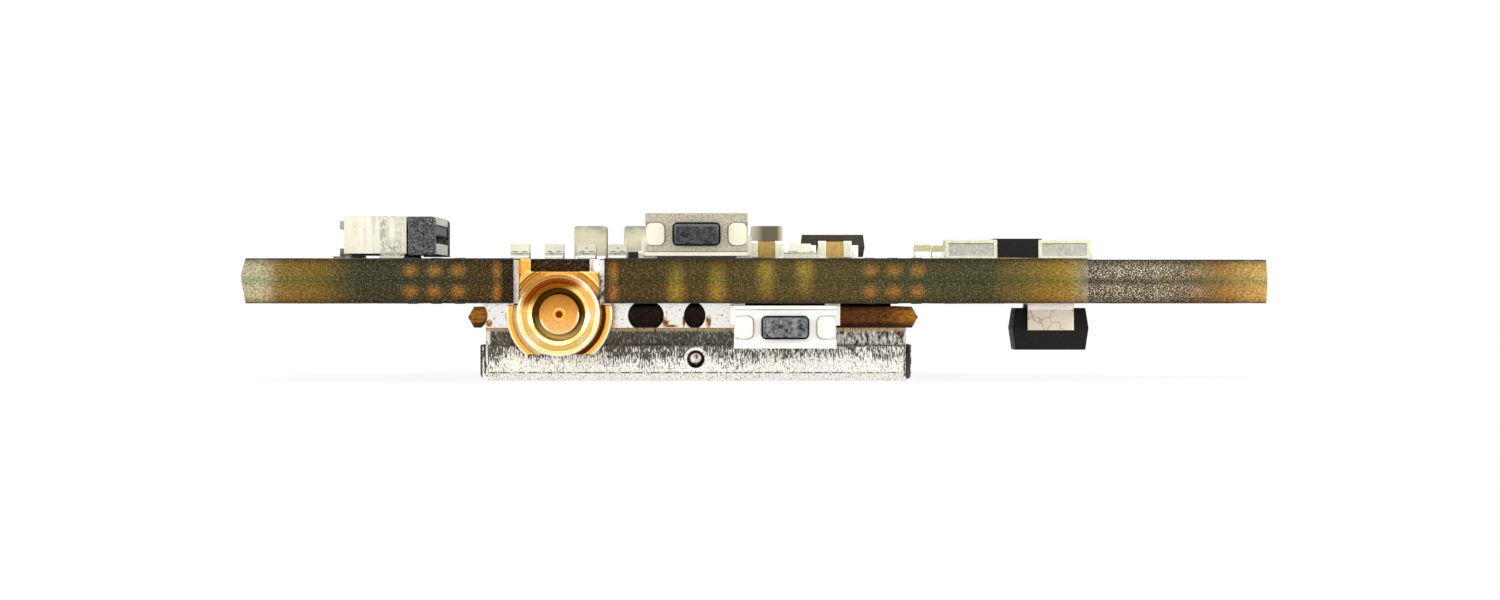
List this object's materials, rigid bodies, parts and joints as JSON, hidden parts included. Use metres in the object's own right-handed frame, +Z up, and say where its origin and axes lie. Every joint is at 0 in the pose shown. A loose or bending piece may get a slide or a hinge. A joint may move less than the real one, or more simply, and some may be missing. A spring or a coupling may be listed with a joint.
{
  "type": "video transmitter board",
  "caption": "Stacking circuit board with an edge-mounted push-fit aerial jack, side-push buttons, a slide-lock ribbon connector, a battery tab and a shielded transmitter module.",
  "frame": {"origin": "centre of the mounting hole pattern, on the main board's underside", "axes": "+X right towards the battery tab, +Y from the aerial jack's edge to the far edge, +Z up from the shield to the upper button"},
  "size_m": [0.0466, 0.0365, 0.0075],
  "materials": {
    "board_laminate": "black solder mask over glass-epoxy laminate",
    "module_laminate": "bare brown glass-epoxy laminate",
    "gilt": "gold plated brass",
    "jack_insulator": "fluoropolymer lit by the gilt bore",
    "solder": "solder",
    "tinned": "tin plating",
    "switch_white": "white moulded plastic",
    "switch_cover": "satin sheet metal",
    "switch_push": "dark moulded plastic",
    "spring_steel": "spring steel",
    "shield_sheet": "tinned sheet",
    "shield_frame": "dark tinned sheet",
    "chip_black": "black moulded plastic",
    "ferrite": "pressed metal powder",
    "ribbon_cream": "natural moulded plastic",
    "ribbon_dark": "dark moulded plastic",
    "lamp_base": "laminate with plated ends",
    "lamp_lens": "clear to milky resin",
    "capacitor": "tan ceramic"
  },
  "bodies": {
    "board": {"main_board": "board_laminate", "module_board": "module_laminate", "jack_body": "gilt", "jack_contact": "gilt", "jack_insulator": "jack_insulator", "jack_solder": "solder", "module_solder_joints": "solder", "upper_button_terminals": "tinned", "lower_button_terminals": "tinned", "ribbon_contacts": "tinned", "ribbon_nails": "tinned", "small_capacitor_ends": "tinned", "right_capacitor_ends": "tinned", "large_capacitor_ends": "tinned", "resistor_ends": "tinned", "regulator_leads": "tinned", "inductor_ends": "tinned", "shunt_terminals": "tinned", "diode_leads": "tinned", "crystal": "tinned", "upper_button_base": "switch_white", "lower_button_base": "switch_white", "upper_button_cover": "switch_cover", "lower_button_cover": "switch_cover", "upper_button_dome": "spring_steel", "lower_button_dome": "spring_steel", "shield_lid": "shield_sheet", "shield_frame": "shield_frame", "transmitter_chip": "chip_black", "amplifier_chip": "chip_black", "resistor_body": "chip_black", "regulator_body": "chip_black", "control_chip": "chip_black", "shunt_body": "chip_black", "diode_body": "chip_black", "inductor_body": "ferrite", "ribbon_housing": "ribbon_cream", "lamp_1_base": "lamp_base", "lamp_2_base": "lamp_base", "lamp_3_base": "lamp_base", "lamp_4_base": "lamp_base", "side_lamp_base": "lamp_base", "lamp_1_lens": "lamp_lens", "lamp_2_lens": "lamp_lens", "lamp_3_lens": "lamp_lens", "lamp_4_lens": "lamp_lens", "side_lamp_lens": "lamp_lens", "module_capacitors": "capacitor", "small_capacitor_1": "capacitor", "small_capacitor_2": "capacitor", "right_capacitor_1": "capacitor", "right_capacitor_2": "capacitor", "large_capacitor_1": "capacitor", "large_capacitor_2": "capacitor", "large_capacitor_3": "capacitor"},
    "upper_push": {"upper_button_push": "switch_push"},
    "lower_push": {"lower_button_push": "switch_push"},
    "ribbon_slider": {"ribbon_lock": "ribbon_dark"}
  },
  "joints": [
    {"name": "upper_push_slide", "type": "slide", "parent": "board", "child": "upper_push", "axis": [0, 1, 0], "range_m": [0, 0.0002], "stiffness_N_per_m": 5000},
    {"name": "lower_push_slide", "type": "slide", "parent": "board", "child": "lower_push", "axis": [0, 1, 0], "range_m": [0, 0.0002], "stiffness_N_per_m": 5000},
    {"name": "ribbon_lock_slide", "type": "slide", "parent": "board", "child": "ribbon_slider", "axis": [1, 0, 0], "range_m": [0, 0.0007]}
  ]
}
